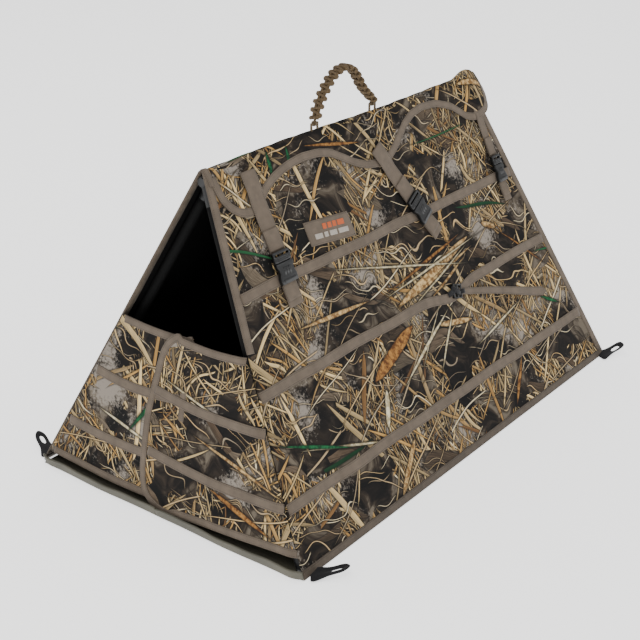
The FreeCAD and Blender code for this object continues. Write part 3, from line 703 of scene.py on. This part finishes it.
for name, colour, v_low, v_high, spans in (
        ("orange_bars", "#c05a2c", 0.56, 0.78, ((0.36, 0.44), (0.47, 0.55), (0.58, 0.66), (0.69, 0.84))),
        ("grey_bars", "#a9a196", 0.24, 0.44, ((0.14, 0.30), (0.34, 0.42), (0.46, 0.62), (0.66, 0.88)))):
    bars = []
    for start, stop in spans:
        ends = patch_spot(np.array([start, stop]), np.array([(v_low + v_high) / 2] * 2))
        bars.append(tape(np.linspace(ends[0], ends[1], 8), (v_high - v_low) * 0.047, 0.0014, 0.0022, place))
    mark = surface(name, *bars)
    thread = dyed(name.replace("bars", "embroidery"), colour)
    fit(mark, "near_side", "patch_cloth", "name_patch", finish=thread)

# ---- Buckle straps ------------------------------------------------------------------------
# Three straps that tie the cap down: webbing sewn to the cap, a side-release buckle and a short end of
# webbing sewn to the panel.


def moulded(name, colour, roughness):
    """Injection-moulded nylon: nearly black, with a fine spark-eroded texture and soft shine."""
    tree, shader, made = finish_named(name)
    coords = node(tree, "TexCoord", {}).outputs["Object"]
    grain = node(tree, "TexNoise", {"Vector": coords, "Scale": 2600.0, "Detail": 2.0})
    worn = node(tree, "TexNoise", {"Vector": coords, "Scale": 60.0, "Detail": 3.0})
    feed(tree, shader, {
        "Base Color": linear(colour),
        "Roughness": node(tree, "MapRange", {0: worn, 3: roughness - 0.08, 4: roughness + 0.1}),
        "Normal": node(tree, "Bump", {"Height": grain, "Strength": 0.25, "Distance": 0.0002})})
    return made


nylon = moulded("black_nylon", "#121314", 0.38)


def on_strap(top_x, top_s, tilt):
    """The function that puts (across, up, height) from a strap's top end onto the near panel."""
    c, k = math.cos(math.radians(tilt)), math.sin(math.radians(tilt))
    base = on_side(-1)

    def place(a, b, h):
        """Points of the piece, in metres from the middle of the foot."""
        return base(top_x + a * c - b * k, top_s + a * k + b * c, h)
    return place


def beside(place, offset):
    """The placing function moved by offset across its strap."""
    return lambda a, b, h: place(a + offset, b, h)


def rounded_block(place, stations, corner=0.0022):
    """A block with rounded corners along a strap. Each station is (b, half width, low, high),
    and the section at each is a rectangle whose corners are quarter circles."""
    turn = np.linspace(0, np.pi / 2, 5)
    sections = []
    for b, half, low, high in stations:
        r = min(corner, half * 0.95, (high - low) / 2 * 0.95)
        centre = ((half - r, high - r), (r - half, high - r), (r - half, low + r), (half - r, low + r))
        a = np.concatenate([cx + r * np.cos(turn + i * np.pi / 2) for i, (cx, cz) in enumerate(centre)])
        h = np.concatenate([cz + r * np.sin(turn + i * np.pi / 2) for i, (cx, cz) in enumerate(centre)])
        sections.append(place(a, np.full_like(a, b), h))
    points = np.stack(sections)
    return points, np.zeros(points.shape[:2] + (2,)), True, True


for strap_name, top_x, top_s, tilt, length, width in (
        ("front", -0.318, 0.655, 0.0, 0.145, 0.038), ("middle", 0.033, 0.612, 25.0, 0.124, 0.038),
        ("rear", 0.394, 0.631, 0.0, 0.125, 0.025)):
    place = on_strap(top_x, top_s, tilt)
    half = width / 2
    run = np.stack((np.zeros(40), np.linspace(0.012 if width < 0.03 else 0.002, -length - 0.0006, 40)), -1)
    upper = surface(strap_name + "_upper_webbing",
                    tape(run, width, 0.0033, 0.0050, lambda a, b, h: place(
                        a, b, h + 0.0026 * np.clip((b + 0.056) / 0.022, 0, 1))),
                    tape(np.linspace((0, -length + 0.002), (0, -length + 0.040), 14), width, 0.0052, 0.0068,
                         place))
    fit(upper, "near_side", "taupe_webbing", strap_name + "_upper_strap", finish=taupe)
    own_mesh(upper)
    bottom = -length - 0.0004 - 0.020 - 0.0006 - 0.037 - 0.0003
    lower = surface(strap_name + "_lower_webbing",
                    tape(np.linspace((0, bottom), (0.0006, bottom - 0.041), 16), width,
                         0.0030, 0.0047, place),
                    tape(np.linspace((0.0, bottom + 0.004), (0.0012, bottom - 0.030), 12), width - 0.001,
                         0.0048, 0.0062, place))
    fit(lower, "near_side", "taupe_webbing", strap_name + "_lower_strap", finish=taupe)

    b0 = -length - 0.0004
    outer = half + 0.0025
    bar = [rounded_block(place, ((b0, outer - 0.0018, 0.0045, 0.0110), (b0 - 0.0012, outer, 0.0043, 0.0113),
                                 (b0 - 0.0040, outer, 0.0043, 0.0113), (b0 - 0.0046, outer, 0.0046, 0.0110))),
           rounded_block(place, ((b0 - 0.0085, outer, 0.0046, 0.0110), (b0 - 0.0092, outer, 0.0043, 0.0113),
                                 (b0 - 0.0160, outer, 0.0043, 0.0115), (b0 - 0.0200, outer - 0.0004, 0.0045,
                                                                       0.0110)))]
    for side in (-1, 1):
        cheek = beside(place, side * (outer - 0.0018))
        bar.append(rounded_block(cheek, ((b0 - 0.0030, 0.0018, 0.0043, 0.0113),
                                         (b0 - 0.0100, 0.0018, 0.0043, 0.0113)), 0.0012))
        arm = beside(place, side * (outer - 0.0060))
        bar.append(rounded_block(arm, ((b0 - 0.0190, 0.0022, 0.0058, 0.0098),
                                       (b0 - 0.0320, 0.0020, 0.0058, 0.0098),
                                       (b0 - 0.0400, 0.0024, 0.0058, 0.0098),
                                       (b0 - 0.0455, 0.0010, 0.0062, 0.0094)), 0.0012))
    bar.append(rounded_block(place, ((b0 - 0.0190, 0.0018, 0.0058, 0.0098),
                                     (b0 - 0.0445, 0.0014, 0.0060, 0.0096)), 0.0010))
    for ridge in range(3):
        at = b0 - 0.0108 - ridge * 0.0028
        bar.append(rounded_block(place, ((at, half * 0.72, 0.0108, 0.0121), (at - 0.0013, half * 0.72, 0.0108,
                                                                            0.0121)), 0.0005))
    plug = surface(strap_name + "_buckle_plug", *bar)
    fit(plug, strap_name + "_plug", "nylon_moulding", strap_name + "_buckle_plug", finish=nylon)

    mouth = b0 - 0.0206
    wide = half + 0.0030
    shape = ((mouth - 0.0370, wide - 0.0020, 0.0036, 0.0108), (mouth - 0.0362, wide - 0.0004, 0.0033, 0.0118),
             (mouth - 0.0300, wide, 0.0033, 0.0123), (mouth - 0.0240, wide - 0.0006, 0.0033, 0.0124),
             (mouth - 0.0170, wide - 0.0038, 0.0033, 0.0126), (mouth - 0.0110, wide - 0.0036, 0.0033, 0.0126),
             (mouth - 0.0060, wide - 0.0006, 0.0033, 0.0124), (mouth - 0.0006, wide, 0.0033, 0.0123),
             (mouth, wide - 0.0005, 0.0037, 0.0119), (mouth - 0.0001, wide - 0.0030, 0.0052, 0.0104),
             (mouth - 0.0120, wide - 0.0056, 0.0053, 0.0103), (mouth - 0.0270, wide - 0.0056, 0.0053, 0.0103))
    shells = [rounded_block(place, shape)]
    for ridge in (-1, 0, 1):
        raised = beside(place, ridge * half * 0.36)
        shells.append(rounded_block(raised, ((mouth - 0.0220, half * 0.12, 0.0118, 0.0128),
                                             (mouth - 0.0080, half * 0.12, 0.0120, 0.0131)), 0.0006))
    shells.append(rounded_block(place, ((mouth - 0.0335, half * 0.80, 0.0112, 0.0131),
                                        (mouth - 0.0290, half * 0.86, 0.0118, 0.0131)), 0.0008))
    socket = surface(strap_name + "_buckle_socket_shell", *shells)
    fit(socket, "near_side", "nylon_moulding", strap_name + "_buckle_socket", finish=nylon)

# ---- Adjusting tail -----------------------------------------------------------------------
# A loose end of taupe webbing across the panel, threaded through a black slider with a tuft of
# black webbing gathered behind it.

place = on_side(-1)
turn = math.radians(-18.0)
along = np.array((math.cos(turn), math.sin(turn)))
start = np.array((0.118, 0.290))
reach = np.linspace(0.004, 0.300, 80)[:, None]
bend = 0.0030 * np.sin(reach * 19) * (reach / 0.3)
path = start + along * reach + np.array((-along[1], along[0])) * bend
share = (reach[:, 0] - 0.004) / 0.296
wide = (0.0135 + 0.0075 * share ** 1.6) * np.sqrt(np.clip((1.0 - share) / 0.045, 0.04, 1))
tail = surface("tail_strap", tape(path, wide, 0.0017, 0.0031,
                                  lambda x, s, h: place(x, s, h + 0.0022 * np.sin(9 * x + 0.4) ** 2)))
fit(tail, "near_side", "taupe_webbing", "tail_webbing", finish=taupe)
knot = []
for offset, lift, size, swing, span in (
        (-0.014, 0.0016, 0.013, 0.0, 0.030), (-0.028, 0.0030, 0.011, 0.5, 0.034),
        (-0.020, 0.0052, 0.010, -0.35, 0.030), (0.003, 0.0046, 0.009, 0.2, 0.016)):
    heading = np.array((math.cos(turn + swing), math.sin(turn + swing)))
    middle = start + along * (offset + 0.012)
    line = np.linspace(middle - heading * span / 2, middle + heading * span / 2, 14)

    def on_loop(x, s, h):
        """Points of one loop of webbing, arched over its middle."""
        from_middle = np.hypot(x - middle[0], s - middle[1]) / (span / 2)
        return place(x, s, h + lift + 0.0035 * np.clip(1 - from_middle ** 2, 0, 1))

    knot.append(tape(line, size, 0.0, 0.0014, on_loop))
bundle = surface("tail_bundle", *knot)
fit(bundle, "near_side", "black_webbing", "tail_slider", finish=black_webbing)


def on_tail(a, b, h):
    """Points at a across the tail, b along it and h over the panel."""
    x = start[0] + b * along[0] - a * along[1]
    s = start[1] + b * along[1] + a * along[0]
    return place(x, s, h)


frame_bars = [rounded_block(on_tail, ((b, 0.0145, 0.0020, 0.0066), (b + 0.0032, 0.0145, 0.0020, 0.0066)),
                            0.0012) for b in (-0.016, -0.004, 0.0085)]
frame_bars += [rounded_block(beside(on_tail, side * 0.0130),
                             ((-0.016, 0.0016, 0.0020, 0.0066), (0.0117, 0.0016, 0.0020, 0.0066)), 0.0012)
               for side in (-1, 1)]
slider = surface("tail_slider_frame", *frame_bars)
fit(slider, "near_side", "nylon_moulding", "tail_slider", finish=nylon)

# ---- Front doors --------------------------------------------------------------------------
# Two printed flaps that close the lower half of the front. The near one laps over the far one
# with a curved free edge; both are bound in taupe tape and carry two rows of webbing.


def on_front(hinge_side):
    """The function that puts (-y, distance up the front slope, height) onto the front plane, with
    a slack belly between the sewn edges."""
    def place(p, q, w):
        """Points of the piece, in metres from the middle of the foot."""
        hinge = half_width * (1 - q / lean)
        share = np.clip(np.abs(hinge_side * hinge - p) / 0.3, 0, 1)
        belly = 0.0022 * np.sin(np.pi * np.clip(share * 1.1, 0, 1)) * np.sin(17 * q + 5 * p + hinge_side)
        belly = belly + 0.0012 * np.sin(38 * p + 29 * q) * share
        sewn = np.clip(1 - share / 0.06, 0, 1) ** 2
        p, q, w = np.broadcast_arrays(p, q, w * (1 - 0.75 * sewn) + belly * np.clip(share * 6, 0, 1))
        return np.stack((-half_length + q * lean_cos - w * lean_sin, -p, q * lean_sin + w * lean_cos), -1)
    return place


def hinge_p(q, gap=0.0004):
    """Distance of the near door's sewn side from the middle at the height q."""
    return half_width * (1 - q / lean) - gap


near_lap = smooth_line(np.array(((11, 12), (-14, 14), (-37, 22), (-50, 33), (-58, 49), (-62, 75), (-62, 104),
                                 (-62, 179), (-58, 212), (-53, 238), (-47, 270), (-40, 297), (-30, 315),
                                 (-18, 326), (-8, 332))) / 1000, 90)
far_lap = np.stack((np.full(90, 0.025), np.linspace(0.026, 0.333, 90)), -1)
doors = (("near", 1, near_lap, 0.0052, 0.036), ("far", -1, far_lap, 0.0018, 0.028))
for side_name, hand, lap, low, foot in doors:
    place = on_front(hand)
    body = side_name + "_door"
    share = np.linspace(0, 1, 100)[None, :]
    rise = lap[:, 1]
    end_q = foot + (0.335 - foot) * (rise - rise[0]) / (rise[-1] - rise[0])
    end_p = hand * hinge_p(end_q, 0.0004 if hand > 0 else 0.0034)
    p = lap[:, :1] * (1 - share) + end_p[:, None] * share
    q = lap[:, 1:] * (1 - share) + end_q[:, None] * share
    if side_name == "far":
        q = q - 0.007 * np.sin(np.pi * share) * np.clip(1 - (q - 0.02) / 0.1, 0, 1)
    q = q - 0.004 * np.sin(np.pi * share) * np.clip((q - 0.25) / 0.085, 0, 1)
    outer = place(p, q, low + 0.0012)
    inner = place(p, q, low)
    uv = np.stack((p + (5.3 if hand > 0 else 6.6), q + 0.35), -1)
    flap = shell(body + "_cloth", outer, inner, uv, camouflage, lining)
    fit(flap, body, "camo_cloth", body)
    top_line = np.stack((p[-1], q[-1] - 0.0068), -1)
    foot_line = np.stack((p[0], q[0] + 0.0062), -1)
    cut = 0 if hand > 0 else 4
    edge_run = np.concatenate((foot_line[::-1][cut:-6], lap + np.array((0.0062 * hand, 0.0)),
                               top_line[6:len(top_line) - cut]))
    around = smooth_line(edge_run, 260)
    bound = surface(body + "_binding", tape(around, 0.0140, low - 0.0010, low + 0.0026, place))
    fit(bound, body, "taupe_webbing", body, finish=taupe)
    straps = []
    for q_row in (0.108, 0.220) if hand > 0 else (0.105, 0.218):
        free = -0.046 if hand > 0 else 0.012
        ps = np.linspace(free, hand * (hinge_p(q_row) - (0.001 if hand > 0 else 0.012)), 70)
        t = np.abs(ps - free) / abs(ps[-1] - free)
        droop = -0.007 * np.sin(np.pi * t) + 0.004 * (1 - t) ** 3
        straps.append(tape(np.stack((ps, q_row + droop), -1), 0.018, low + 0.0013, low + 0.0028, place))
    rows = surface(body + "_stubble_rows", *straps)
    fit(rows, body, "taupe_webbing", body + "_straps", finish=taupe)
    for made in (flap, bound, rows):
        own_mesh(made)

# ---- Rear wall ----------------------------------------------------------------------------
# Printed cloth in two halves that meet down the middle, inside the leaning rear plane. The halves
# fold flat against the panels when the frame is closed.

for side_name, side in sides:
    q, share = np.meshgrid(np.linspace(0.010, 0.612, 90), np.linspace(0, 1, 60), indexing="ij")
    p = share * (half_width * (1 - q / lean) - 0.0029) + 0.0004
    belly = 0.006 * np.sin(np.pi * share) * np.sin(np.pi * q / 0.62)
    belly = belly + 0.0018 * np.sin(30 * p + 19 * q) * np.sin(np.pi * share)

    def on_rear(w):
        """Points w outside the rear plane."""
        w = w - belly
        return np.stack((half_length - q * lean_cos + w * lean_sin, side * p,
                         q * lean_sin + w * lean_cos), -1)

    uv = np.stack((side * p + 8.4, q), -1)
    wall = shell(side_name + "_rear_cloth", on_rear(0.0), on_rear(-0.0013), uv, camouflage, lining)
    fit(wall, side_name + "_side", "camo_cloth", side_name + "_rear_wall")
    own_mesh(wall)

# ---- Floor --------------------------------------------------------------------------------
# Heavy coated cloth in an olive grey, creased and a little slack, with its front hem folded
# over a cord so that it stands up across the doorway.


def coated_floor():
    """Vinyl-coated polyester: dull olive grey, mottled paler and darker at random."""
    tree, shader, made = finish_named("olive_grey_coated_cloth")
    coords = node(tree, "TexCoord", {}).outputs["Object"]
    stain = node(tree, "TexNoise", {"Vector": coords, "Scale": 14.0, "Detail": 5.0})
    ramp = node(tree, "ValToRGB", {0: stain})
    ramp.color_ramp.elements[0].color = linear("#3b3a32")
    ramp.color_ramp.elements[1].color = linear("#625e4f")
    grain = node(tree, "TexNoise", {"Vector": coords, "Scale": 500.0, "Detail": 2.0})
    feed(tree, shader, {
        "Base Color": ramp, "Roughness": 0.66,
        "Normal": node(tree, "Bump", {"Height": grain, "Strength": 0.3, "Distance": 0.0004})})
    return made


def hem_x(y):
    """Foot of the standing hem: a slow wave that turns back to meet the panel at its end."""
    turned = np.clip((y - 0.285) / 0.025, 0, 1)
    return -0.5415 + 0.0016 * np.sin(y * 26 + 1.0) * np.sin(y * 7) + 0.008 * turned ** 2


floor_cloth = coated_floor()
for side_name, side in sides:
    x, share = np.meshgrid(np.linspace(-0.5400, 0.526, 150), np.linspace(0, 1, 60), indexing="ij")
    y = side * (0.010 + share * 0.295) if side > 0 else side * (-0.010 + share * 0.300)
    front = np.clip((-0.500 - x) / 0.04, 0, 1)
    crease = np.abs(np.sin(13 * x + 3 * np.sin(9 * y)))
    buckle = 0.0010 + 0.0011 * crease * np.sin(np.pi * share) * (1 - front)
    top = np.stack((x, y, 0.0013 + buckle), -1)
    bottom = np.stack((x, y, 0.0002 + buckle * 0.6), -1)
    sheet = shell(side_name + "_floor_cloth", top, bottom, np.stack((x, y), -1), floor_cloth, floor_cloth)
    reach = np.linspace(-0.010 if side < 0 else 0.0102, 0.313 if side < 0 else 0.308, 70)
    tall = 0.0155 + 0.0012 * np.sin(reach * 31) + 0.0008 * np.sin(reach * 83)

    def on_hem(x, s, h):
        """Points on the hem: x runs across the doorway, s up the hem, h towards the front."""
        return np.stack((hem_x(x) - h - 0.25 * s, side * x + 0 * s, 0.0012 + s), -1)

    roll = surface(side_name + "_floor_hem",
                   tape(np.stack((reach, tall / 2), -1), tall, -0.0012, 0.0016, on_hem),
                   pipe(np.stack((hem_x(reach) - 0.25 * tall, side * reach, 0.0012 + tall), -1), 0.0021, 10))
    roll.data.materials.append(floor_cloth)
    for made in (sheet, roll):
        fit(made, side_name + "_side", "floor_cloth", side_name + "_floor")
        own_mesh(made)

# ---- Frame --------------------------------------------------------------------------------
# Steel tube in black powder coat with moulded nylon corners, all hidden by the cloth but for
# the ends. The coat shows a faint orange-peel texture.

tree, shader, coat = finish_named("black_powder_coat")
coords = node(tree, "TexCoord", {}).outputs["Object"]
peel = node(tree, "TexNoise", {"Vector": coords, "Scale": 700.0, "Detail": 2.0})
feed(tree, shader, {"Base Color": linear("#1b1c1d"), "Metallic": 0.3, "Roughness": 0.4,
                    "Normal": node(tree, "Bump", {"Height": peel, "Strength": 0.2, "Distance": 0.0003})})
fitting = moulded("black_glass_nylon", "#141515", 0.5)
for name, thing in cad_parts.items():
    finish = None
    if name.endswith(("_tube", "_upright")):
        finish = coat
    elif name.endswith(("_elbow", "_hinge_eye", "_ridge_clamp", "_plugs")):
        finish = fitting
    if finish is not None:
        thing.data.materials.clear()
        thing.data.materials.append(finish)

# ---- Carry handle -------------------------------------------------------------------------
# Parachute cord plaited into a thick band: each turn of cord crosses the band and doubles back
# at its edge, so both edges are scalloped. The finish is a worn olive tan with a braided sheath.


def braided_cord(name, dark, light):
    """Braided sheath: small diamond ticks of two tones along and round the cord."""
    tree, shader, made = finish_named(name)
    cloth = node(tree, "UVMap", {}, uv_map="cloth")
    axis = node(tree, "SeparateXYZ", {0: cloth}).outputs
    wear = node(tree, "TexNoise", {"Vector": cloth, "Scale": 260.0, "Detail": 3.0})
    one, other = (("SINE", ("MULTIPLY", (kind, axis[0], axis[1]), 3100.0)) for kind in ("ADD", "SUBTRACT"))
    ticks = work_out(tree, ("MULTIPLY", one, other))
    mixed = work_out(tree, ("MULTIPLY_ADD", ticks, 0.28, wear.outputs[0]))
    ramp = node(tree, "ValToRGB", {0: mixed})
    ramp.color_ramp.elements[0].position = 0.25
    ramp.color_ramp.elements[0].color = linear(dark)
    ramp.color_ramp.elements[1].position = 0.8
    ramp.color_ramp.elements[1].color = linear(light)
    feed(tree, shader, {
        "Base Color": ramp, "Roughness": 0.75,
        "Normal": node(tree, "Bump", {"Height": ticks, "Strength": 0.4, "Distance": 0.0003})})
    return made


paracord = braided_cord("olive_tan_paracord", "#3b2d1b", "#715b3a")
arch = smooth_line(np.array((
    (-104, 627), (-103, 634), (-99, 645), (-92, 657), (-83, 669), (-74, 680), (-62, 692), (-48, 701),
    (-34, 706.5), (-19, 708.5), (-6, 706), (6, 699), (17, 688), (26, 676), (35, 662), (47, 650),
    (59, 640), (68, 632), (71, 627))) / 1000, 400)
ahead = np.gradient(arch, axis=0)
ahead /= np.linalg.norm(ahead, axis=1, keepdims=True)
turns = 31
strands = []
for index in range(turns):
    at = int((index + 0.5) / turns * 399)
    centre = np.array((arch[at, 0], 0.0, arch[at, 1]))
    forward = np.array((ahead[at, 0], 0.0, ahead[at, 1]))
    out = np.array((-ahead[at, 1], 0.0, ahead[at, 0]))
    angle = np.linspace(0, 2 * np.pi, 41)[:-1]
    slant = 0.30 if index % 2 else -0.30
    across = 0.0104 * np.sign(np.cos(angle)) * np.abs(np.cos(angle)) ** 0.8
    height = 0.0036 * np.sign(np.sin(angle)) * np.abs(np.sin(angle)) ** 0.9
    shift = slant * across + 0.0012 * np.sin(angle) * np.sign(slant)
    ring = centre + across[:, None] * np.array((0.0, 1.0, 0.0)) + height[:, None] * out
    ring = ring + shift[:, None] * forward
    fat = 0.0026 + 0.0010 * np.abs(np.cos(angle)) ** 3
    closed = np.concatenate((ring, ring[:2]))
    points, uv, wrap, ends = pipe(closed, np.concatenate((fat, fat[:2])), 10)
    strands.append((points, uv, wrap, ends))
core = np.stack((arch[:, 0], np.zeros(400), arch[:, 1]), -1)[::5]
for offset in (-0.0040, 0.0040):
    strands.append(pipe(core + np.array((0.0, offset, 0.0)), 0.0034, 10))
grip = surface("handle_grip_weave", *strands)
fit(grip, "handle", "paracord", "handle_weave", finish=paracord)
for name in ("handle_end_loops", "handle_anchors"):
    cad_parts[name].data.materials.clear()
    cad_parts[name].data.materials.append(dyed(name + "_cord", "#54452e"))

# ---- Stake loops --------------------------------------------------------------------------
# Black webbing sewn into each corner: a broad tab that narrows to a ring for a ground stake.
# The tips curl up from the floor.

outline = smooth_line(np.array((
    (-4, 0), (-4, 19), (0, 20), (12, 15.5), (24, 11.5), (36, 11), (48, 11.2), (57, 9), (61.5, 4),
    (61.5, 0), (61.5, -4), (57, -9), (48, -11.2), (36, -11), (24, -11.5), (12, -15.5), (0, -20),
    (-4, -19), (-4, 0))) / 1000, 96)
hole = smooth_line(np.array((
    (29, 0), (29.4, 2.2), (31, 3.6), (37, 4.2), (46, 4.2), (50, 3), (51.5, 0), (50, -3), (46, -4.2),
    (37, -4.2), (31, -3.6), (29.4, -2.2), (29, 0))) / 1000, 96)
share = np.array((0.0, 0.04, 0.35, 0.65, 0.96, 1.0, 1.0, 0.96, 0.65, 0.35, 0.04, 0.0))[:, None, None]
thick = np.array((0.3, 1, 1, 1, 1, 0.3, -0.3, -1, -1, -1, -1, -0.3))[:, None] * 0.0011
flat = outline[None, :-1] * (1 - share) + hole[None, :-1] * share
for loop_name, side_x, side_y, heading in (("near_front", -1, -1, -53), ("far_front", -1, 1, 70),
                                           ("near_rear", 1, -1, -26), ("far_rear", 1, 1, 26)):
    u, v = flat[..., 0], flat[..., 1]
    curl = 0.0036 + u * math.tan(math.radians(12)) + 3.2 * np.clip(u - 0.02, 0, 1) ** 2
    curl = curl + 0.0016 * np.sin(v * 260 + heading) * np.clip(u / 0.03, 0, 1)
    z = curl + thick
    c, k = math.cos(math.radians(heading)), math.sin(math.radians(heading))
    x = side_x * 0.514 + u * c - v * k
    y = side_y * 0.317 + u * k + v * c
    grid = np.stack((x, y, z), -1)
    grid = np.concatenate((grid, grid[:1]))
    uv = np.stack((u, np.full_like(u, 0.006)), -1)
    loop = surface(loop_name + "_stake_tab", (grid, np.concatenate((uv, uv[:1])), True, False))
    loop.data.materials.append(black_webbing)
    side_name = "near" if side_y < 0 else "far"
    fit(loop, side_name + "_side", "black_webbing", loop_name + "_stake_loop")
